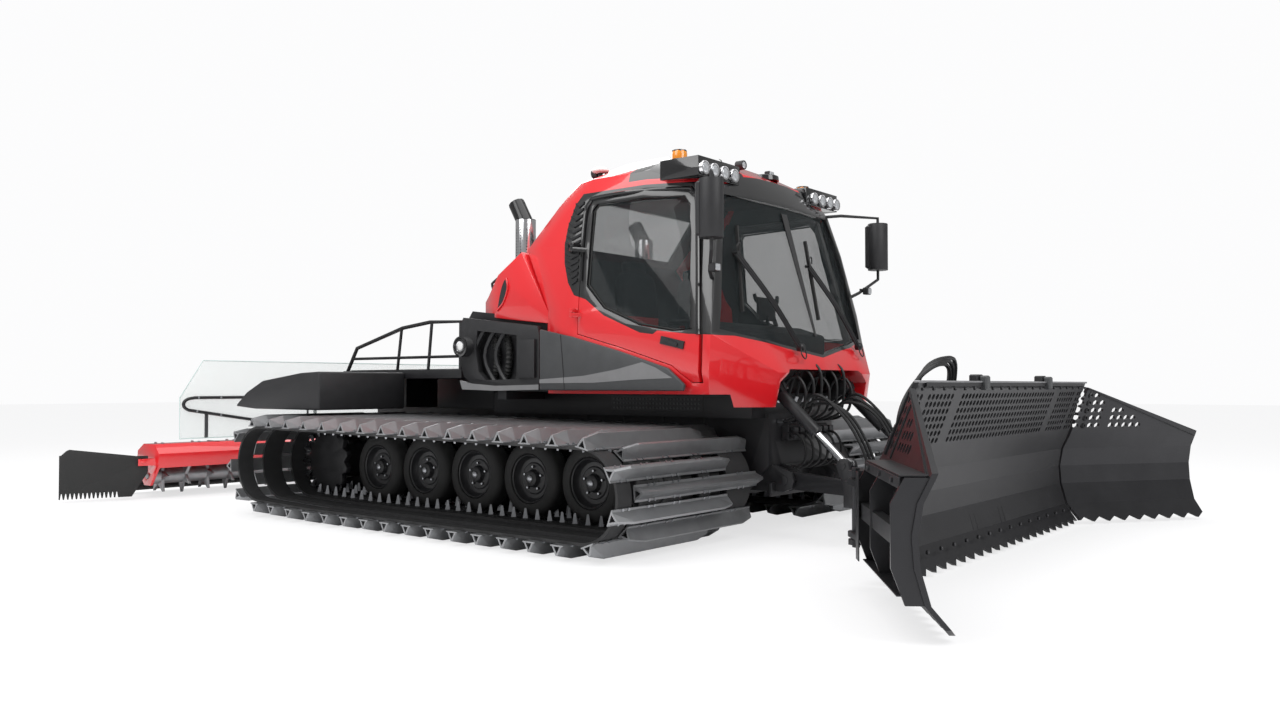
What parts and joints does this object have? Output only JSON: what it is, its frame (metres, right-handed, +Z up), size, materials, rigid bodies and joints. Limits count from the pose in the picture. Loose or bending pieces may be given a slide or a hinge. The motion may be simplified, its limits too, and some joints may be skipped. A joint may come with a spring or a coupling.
{
  "type": "snow groomer",
  "caption": "Tracked snow groomer with a glazed cab, a folding front blade, a raised rear platform and a towed tiller with a finishing comb.",
  "frame": {"origin": "on the ground under the centre of the outline, midway between blade and comb and between the tracks", "axes": "+X forwards to the blade, +Y to the driver's left, +Z up"},
  "size_m": [9.0682, 5.632, 2.84],
  "materials": {
    "red_paint": "glossy paint",
    "black_paint": "semi-gloss paint",
    "dark_plastic": "matte",
    "grey_plastic": "matte",
    "glass": "tinted, polished",
    "clear_sheet": "clear sheet",
    "chrome": "polished",
    "track_bars": "worn bare metal",
    "tyre": "matte",
    "cast_parts": "painted casting",
    "blade_steel": "dark worn paint",
    "rubber": "matte",
    "seat": "soft"
  },
  "bodies": {
    "base": {"chassis": "black_paint", "cab_shell": "red_paint", "windshield": "glass", "rear_window": "glass", "engine_block": "cast_parts", "console": "dark_plastic", "platform": "black_paint", "track_right": "track_bars", "track_left": "track_bars", "sprocket_right": "cast_parts", "sprocket_left": "cast_parts", "side_bay_right": "dark_plastic", "side_bay_left": "dark_plastic", "side_fairing_right": "grey_plastic", "side_fairing_left": "grey_plastic", "lamp_pod_right": "dark_plastic", "lamp_pod_left": "dark_plastic", "mirror_right": "dark_plastic", "mirror_left": "dark_plastic", "seat_right": "seat", "seat_left": "seat", "platform_rail_right": "black_paint", "platform_rail_left": "black_paint", "fender_right": "dark_plastic", "fender_left": "dark_plastic", "wheel_set_1_right": "tyre", "wheel_set_1_left": "tyre", "wheel_set_2_right": "tyre", "wheel_set_2_left": "tyre", "wheel_set_3_right": "tyre", "wheel_set_3_left": "tyre"},
    "door_right": {"door_right": "red_paint", "door_glass_right": "glass"},
    "barrel_right": {"lift_cylinder_right": "black_paint"},
    "ram_right": {"lift_rod_right": "chrome"},
    "wing_right": {"wing_right": "blade_steel"},
    "flap_right": {"tiller_flap_right": "rubber"},
    "door_left": {"door_left": "red_paint", "door_glass_left": "glass"},
    "barrel_left": {"lift_cylinder_left": "black_paint"},
    "ram_left": {"lift_rod_left": "chrome"},
    "wing_left": {"wing_left": "blade_steel"},
    "flap_left": {"tiller_flap_left": "rubber"},
    "hood": {"engine_hood": "red_paint", "exhaust_right": "chrome", "exhaust_left": "chrome"},
    "push_frame": {"push_frame": "black_paint"},
    "carrier": {"blade_carrier": "black_paint"},
    "yoke": {"blade_yoke": "black_paint"},
    "blade": {"blade_center": "blade_steel"},
    "tiller_arm": {"tiller_arm": "black_paint"},
    "tiller": {"tiller_hood": "red_paint", "finisher_comb": "rubber", "snow_guard": "clear_sheet", "guard_frame": "black_paint"},
    "tiller_shaft": {"tiller_shaft": "track_bars"}
  },
  "joints": [
    {"name": "door_right_hinge", "type": "hinge", "parent": "base", "child": "door_right", "pos_m": [0.98, -1.19, 1.1], "axis": [0, 0, -1], "range_deg": [0, 75]},
    {"name": "door_left_hinge", "type": "hinge", "parent": "base", "child": "door_left", "pos_m": [0.98, 1.19, 1.1], "axis": [0, 0, 1], "range_deg": [0, 75]},
    {"name": "hood_hinge", "type": "hinge", "parent": "base", "child": "hood", "pos_m": [0.29, 0, 2.15], "axis": [0, 1, 0], "range_deg": [0, 35]},
    {"name": "blade_lift", "type": "hinge", "parent": "base", "child": "push_frame", "pos_m": [2.3725, 0, 0.42], "axis": [0, -1, 0], "range_deg": [-3, 20]},
    {"name": "blade_swivel", "type": "hinge", "parent": "push_frame", "child": "carrier", "pos_m": [3.25, 0, 0.43], "axis": [0, 0, 1], "range_deg": [-20, 20]},
    {"name": "blade_tilt", "type": "hinge", "parent": "carrier", "child": "yoke", "pos_m": [3.48, 0, 0.43], "axis": [1, 0, 0], "range_deg": [-8, 8]},
    {"name": "blade_pitch", "type": "hinge", "parent": "yoke", "child": "blade", "pos_m": [3.585, 0, 0.17], "axis": [0, 1, 0], "range_deg": [-5, 5]},
    {"name": "wing_right_hinge", "type": "hinge", "parent": "blade", "child": "wing_right", "pos_m": [3.6, -1.72, 0.24], "axis": [0, 0, 1], "range_deg": [-45, 7]},
    {"name": "wing_left_hinge", "type": "hinge", "parent": "blade", "child": "wing_left", "pos_m": [3.6, 1.72, 0.24], "axis": [0, 0, -1], "range_deg": [-45, 7]},
    {"name": "tiller_lift", "type": "hinge", "parent": "base", "child": "tiller_arm", "pos_m": [-2.42, 0, 0.52], "axis": [0, 1, 0], "range_deg": [-2, 25]},
    {"name": "tiller_tilt", "type": "hinge", "parent": "tiller_arm", "child": "tiller", "pos_m": [-3.6, 0, 0.42], "axis": [0, 1, 0], "range_deg": [-8, 8]},
    {"name": "tiller_spin", "type": "hinge", "parent": "tiller", "child": "tiller_shaft", "pos_m": [-3.94, 0, 0.215], "axis": [0, 1, 0], "continuous": true},
    {"name": "flap_right_hinge", "type": "hinge", "parent": "tiller", "child": "flap_right", "pos_m": [-3.86, -2.085, 0.37], "axis": [-0.9397, 0.342, 0], "range_deg": [0, 90]},
    {"name": "flap_left_hinge", "type": "hinge", "parent": "tiller", "child": "flap_left", "pos_m": [-3.86, 2.085, 0.37], "axis": [0.9397, 0.342, 0], "range_deg": [0, 90]},
    {"name": "barrel_right_hinge", "type": "hinge", "parent": "base", "child": "barrel_right", "pos_m": [2.36, -0.53, 1.09], "axis": [0, -1, 0], "range_deg": [-2, 10]},
    {"name": "ram_right_slide", "type": "slide", "parent": "barrel_right", "child": "ram_right", "axis": [0.7323, 0, -0.6809], "range_m": [-0.235, 0.035]},
    {"name": "barrel_left_hinge", "type": "hinge", "parent": "base", "child": "barrel_left", "pos_m": [2.36, 0.53, 1.09], "axis": [0, -1, 0], "range_deg": [-2, 10]},
    {"name": "ram_left_slide", "type": "slide", "parent": "barrel_left", "child": "ram_left", "axis": [0.7323, 0, -0.6809], "range_m": [-0.235, 0.035]}
  ],
  "couplings": [
    {"joint": "barrel_right_hinge", "follows": "blade_lift", "ratio": 0.381},
    {"joint": "ram_right_slide", "follows": "blade_lift", "m_per_rad": -0.508},
    {"joint": "barrel_left_hinge", "follows": "blade_lift", "ratio": 0.381},
    {"joint": "ram_left_slide", "follows": "blade_lift", "m_per_rad": -0.508}
  ]
}
